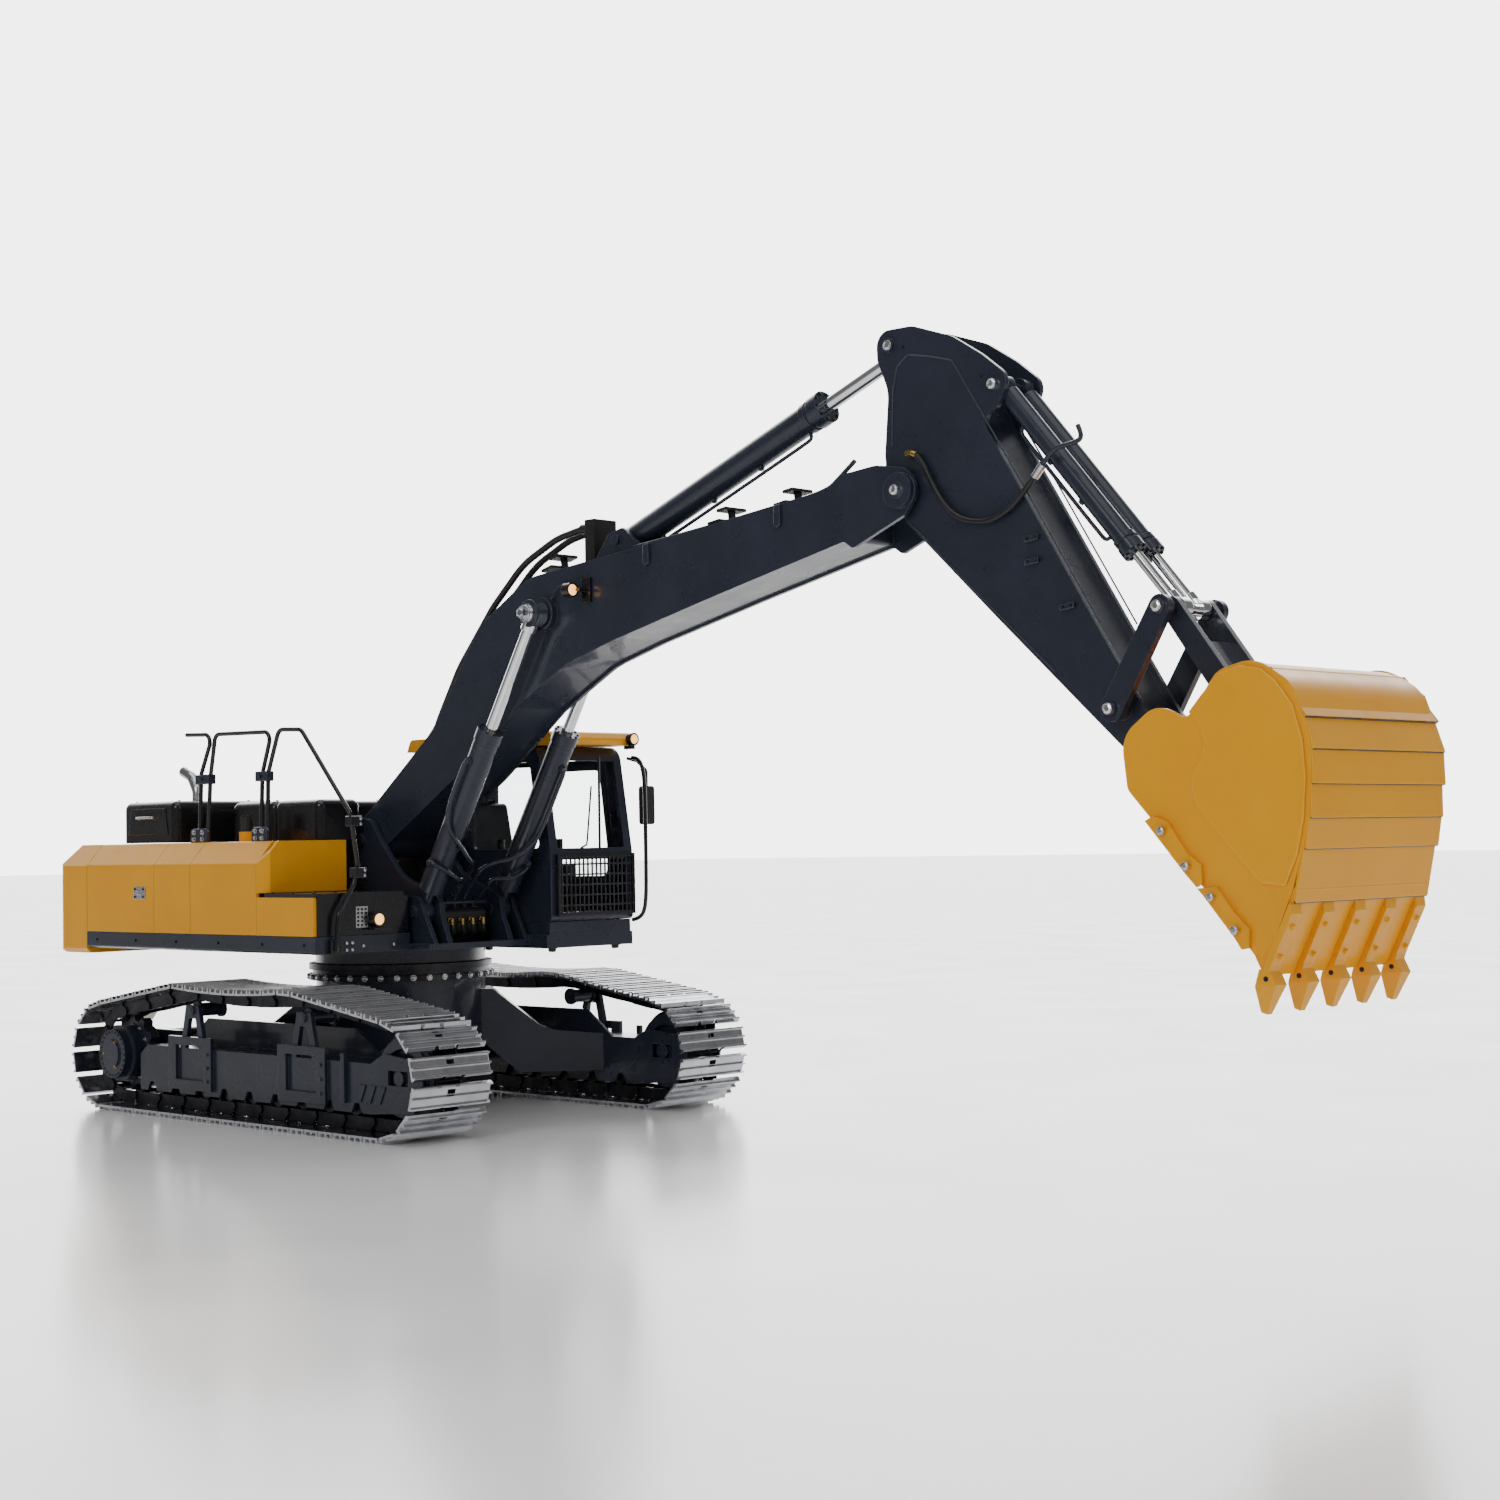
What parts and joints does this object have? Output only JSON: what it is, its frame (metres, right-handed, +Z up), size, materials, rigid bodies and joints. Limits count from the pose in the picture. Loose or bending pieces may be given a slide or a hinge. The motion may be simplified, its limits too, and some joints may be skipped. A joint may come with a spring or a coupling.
{
  "type": "rc excavator",
  "caption": "Radio-controlled hydraulic crawler excavator with swinging upper body, cab, boom, arm and toothed bucket on steel tracks.",
  "frame": {"origin": "on the ground under the slewing axis", "axes": "+X forward along the boom, +Y to the cab side, +Z up"},
  "size_m": [0.9241, 0.2534, 0.4143],
  "materials": {
    "yellow_paint": "gloss",
    "navy_paint": "gloss",
    "black_paint": "satin",
    "chrome": "polished",
    "bright_steel": "plated",
    "dark_steel": "blackened",
    "glass": "clear",
    "lamp": "lit lens",
    "hose_rubber": "smooth",
    "black_plastic": "matte",
    "battery_wrap": "shrink wrap",
    "aluminium": "anodised"
  },
  "bodies": {
    "undercarriage": {"track_shoes_right": "chrome", "track_shoes_left": "chrome", "track_chain_right": "dark_steel", "track_chain_left": "dark_steel", "track_frame_right": "navy_paint", "track_frame_left": "navy_paint", "lower_rollers": "dark_steel", "track_tensioners": "navy_paint", "travel_motors": "navy_paint", "x_frame": "navy_paint", "slew_ring": "dark_steel"},
    "sprocket_right": {"sprocket_right": "navy_paint"},
    "sprocket_left": {"sprocket_left": "navy_paint"},
    "idler_right": {"idler_right": "navy_paint"},
    "idler_left": {"idler_left": "navy_paint"},
    "carrier_right_front": {"carrier_roller_right_front": "navy_paint"},
    "carrier_right_rear": {"carrier_roller_right_rear": "navy_paint"},
    "carrier_left_front": {"carrier_roller_left_front": "navy_paint"},
    "carrier_left_rear": {"carrier_roller_left_rear": "navy_paint"},
    "upper": {"main_deck": "navy_paint", "counterweight": "yellow_paint", "side_panels": "yellow_paint", "fuel_tank": "yellow_paint", "tool_box": "black_paint", "pump_cover": "black_paint", "handrails": "black_paint", "battery": "battery_wrap", "hydraulic_pump": "aluminium", "oil_tank": "aluminium", "valve_block": "aluminium", "receiver_box": "black_plastic", "swing_motor": "aluminium", "cab_shell": "navy_paint", "cab_glass": "glass", "cab_roof": "yellow_paint", "work_lamps": "black_paint", "cab_guard": "black_paint", "cab_interior": "black_plastic"},
    "swing_pinion": {"swing_pinion": "bright_steel"},
    "right_door": {"right_door": "yellow_paint"},
    "left_door": {"left_door": "yellow_paint"},
    "engine_hood": {"engine_hood": "black_paint", "exhaust_pipe": "bright_steel"},
    "fuel_cap": {"fuel_cap": "black_plastic"},
    "cab_door": {"cab_door": "navy_paint"},
    "cab_mirror": {"cab_mirror": "black_plastic"},
    "boom": {"boom": "navy_paint", "boom_lamp": "black_paint", "boom_lines": "hose_rubber"},
    "boom_cylinder_barrels": {"boom_cylinder_barrels": "navy_paint"},
    "boom_cylinder_rods": {"boom_cylinder_rods": "chrome"},
    "arm_cylinder_barrel": {"arm_cylinder_barrel": "navy_paint"},
    "arm_cylinder_rod": {"arm_cylinder_rod": "chrome"},
    "arm": {"arm": "navy_paint"},
    "bucket_cylinder_barrels": {"bucket_cylinder_barrels": "navy_paint"},
    "bucket_cylinder_rods": {"bucket_cylinder_rods": "chrome"},
    "bucket_levers": {"bucket_levers": "navy_paint"},
    "bucket_link": {"bucket_link": "navy_paint"},
    "bucket": {"bucket": "yellow_paint", "bucket_teeth": "yellow_paint"}
  },
  "joints": [
    {"name": "swing", "type": "hinge", "parent": "undercarriage", "child": "upper", "pos_m": [0, 0, 0.09], "axis": [0, 0, 1], "continuous": true},
    {"name": "swing_pinion_spin", "type": "hinge", "parent": "upper", "child": "swing_pinion", "pos_m": [-0.036, 0, 0.085], "axis": [0, 0, 1], "continuous": true},
    {"name": "right_drive", "type": "hinge", "parent": "undercarriage", "child": "sprocket_right", "pos_m": [-0.1425, -0.0998, 0.034], "axis": [0, 1, 0], "continuous": true},
    {"name": "left_drive", "type": "hinge", "parent": "undercarriage", "child": "sprocket_left", "pos_m": [-0.1425, 0.0998, 0.034], "axis": [0, 1, 0], "continuous": true},
    {"name": "right_idler", "type": "hinge", "parent": "undercarriage", "child": "idler_right", "pos_m": [0.1425, -0.0998, 0.034], "axis": [0, 1, 0], "continuous": true},
    {"name": "left_idler", "type": "hinge", "parent": "undercarriage", "child": "idler_left", "pos_m": [0.1425, 0.0998, 0.034], "axis": [0, 1, 0], "continuous": true},
    {"name": "right_front_carrier", "type": "hinge", "parent": "undercarriage", "child": "carrier_right_front", "pos_m": [0.055, -0.0998, 0.064], "axis": [0, 1, 0], "continuous": true},
    {"name": "right_rear_carrier", "type": "hinge", "parent": "undercarriage", "child": "carrier_right_rear", "pos_m": [-0.06, -0.0998, 0.064], "axis": [0, 1, 0], "continuous": true},
    {"name": "left_front_carrier", "type": "hinge", "parent": "undercarriage", "child": "carrier_left_front", "pos_m": [0.055, 0.0998, 0.064], "axis": [0, 1, 0], "continuous": true},
    {"name": "left_rear_carrier", "type": "hinge", "parent": "undercarriage", "child": "carrier_left_rear", "pos_m": [-0.06, 0.0998, 0.064], "axis": [0, 1, 0], "continuous": true},
    {"name": "boom_lift", "type": "hinge", "parent": "upper", "child": "boom", "pos_m": [-0.006, 0, 0.165], "axis": [0, -1, 0], "range_deg": [-30, 25]},
    {"name": "boom_cylinder_swing", "type": "hinge", "parent": "upper", "child": "boom_cylinder_barrels", "pos_m": [0.06, 0, 0.122], "axis": [0, -1, 0], "range_deg": [-32, 27]},
    {"name": "boom_cylinder_stroke", "type": "slide", "parent": "boom_cylinder_barrels", "child": "boom_cylinder_rods", "axis": [0.5283, 0, 0.849], "range_m": [-0.0407, 0.034]},
    {"name": "arm_swing", "type": "hinge", "parent": "boom", "child": "arm", "pos_m": [0.4321, 0, 0.3319], "axis": [0, -1, 0], "range_deg": [-38, 30]},
    {"name": "arm_cylinder_swing", "type": "hinge", "parent": "boom", "child": "arm_cylinder_barrel", "pos_m": [0.2167, 0, 0.3302], "axis": [0, -1, 0], "range_deg": [-5, 4]},
    {"name": "arm_cylinder_stroke", "type": "slide", "parent": "arm_cylinder_barrel", "child": "arm_cylinder_rod", "axis": [0.9376, 0, 0.3478], "range_m": [-0.0376, 0.0474]},
    {"name": "bucket_curl", "type": "hinge", "parent": "arm", "child": "bucket", "pos_m": [0.586, 0, 0.19], "axis": [0, -1, 0], "range_deg": [-65, 30]},
    {"name": "bucket_lever_swing", "type": "hinge", "parent": "arm", "child": "bucket_levers", "pos_m": [0.5578, 0, 0.2175], "axis": [0, -1, 0], "range_deg": [-54, 26]},
    {"name": "bucket_link_swing", "type": "hinge", "parent": "bucket_levers", "child": "bucket_link", "pos_m": [0.585, 0, 0.2621], "axis": [0, -1, 0], "range_deg": [-18, 38]},
    {"name": "bucket_cylinder_swing", "type": "hinge", "parent": "arm", "child": "bucket_cylinder_barrels", "pos_m": [0.4872, 0, 0.3776], "axis": [0, -1, 0], "range_deg": [-2, 3]},
    {"name": "bucket_cylinder_stroke", "type": "slide", "parent": "bucket_cylinder_barrels", "child": "bucket_cylinder_rods", "axis": [0.6462, 0, -0.7632], "range_m": [-0.0212, 0.0448]},
    {"name": "right_door_hinge", "type": "hinge", "parent": "upper", "child": "right_door", "pos_m": [-0.148, -0.0885, 0.1655], "axis": [-1, 0, 0], "range_deg": [0, 75]},
    {"name": "left_door_hinge", "type": "hinge", "parent": "upper", "child": "left_door", "pos_m": [-0.148, 0.0885, 0.1655], "axis": [1, 0, 0], "range_deg": [0, 75]},
    {"name": "engine_hood_hinge", "type": "hinge", "parent": "upper", "child": "engine_hood", "pos_m": [-0.182, 0, 0.166], "axis": [0, -1, 0], "range_deg": [0, 60]},
    {"name": "fuel_cap_turn", "type": "hinge", "parent": "upper", "child": "fuel_cap", "pos_m": [-0.048, -0.08, 0.172], "axis": [0, 0, 1], "range_deg": [0, 90]},
    {"name": "cab_door_hinge", "type": "hinge", "parent": "upper", "child": "cab_door", "pos_m": [0.0162, 0.1066, 0.165], "axis": [0, 0, 1], "range_deg": [0, 95]},
    {"name": "mirror_fold", "type": "hinge", "parent": "upper", "child": "cab_mirror", "pos_m": [0.092, 0.1086, 0.205], "axis": [0, 0, 1], "range_deg": [-20, 60]}
  ],
  "couplings": [
    {"joint": "swing_pinion_spin", "follows": "swing", "ratio": -5.5},
    {"joint": "right_idler", "follows": "right_drive", "ratio": 1},
    {"joint": "left_idler", "follows": "left_drive", "ratio": 1},
    {"joint": "right_front_carrier", "follows": "right_drive", "ratio": 5.1569},
    {"joint": "right_rear_carrier", "follows": "right_drive", "ratio": 5.1569},
    {"joint": "left_front_carrier", "follows": "left_drive", "ratio": 5.1569},
    {"joint": "left_rear_carrier", "follows": "left_drive", "ratio": 5.1569},
    {"joint": "boom_cylinder_swing", "follows": "boom_lift", "ratio": 1.009},
    {"joint": "boom_cylinder_stroke", "follows": "boom_lift", "m_per_rad": 0.07574},
    {"joint": "arm_cylinder_swing", "follows": "arm_swing", "ratio": 0.0916},
    {"joint": "arm_cylinder_stroke", "follows": "arm_swing", "m_per_rad": -0.06995},
    {"joint": "bucket_lever_swing", "follows": "bucket_curl", "ratio": 0.8057},
    {"joint": "bucket_link_swing", "follows": "bucket_curl", "ratio": -0.5582},
    {"joint": "bucket_cylinder_swing", "follows": "bucket_curl", "ratio": -0.0163},
    {"joint": "bucket_cylinder_stroke", "follows": "bucket_curl", "m_per_rad": -0.03858}
  ]
}
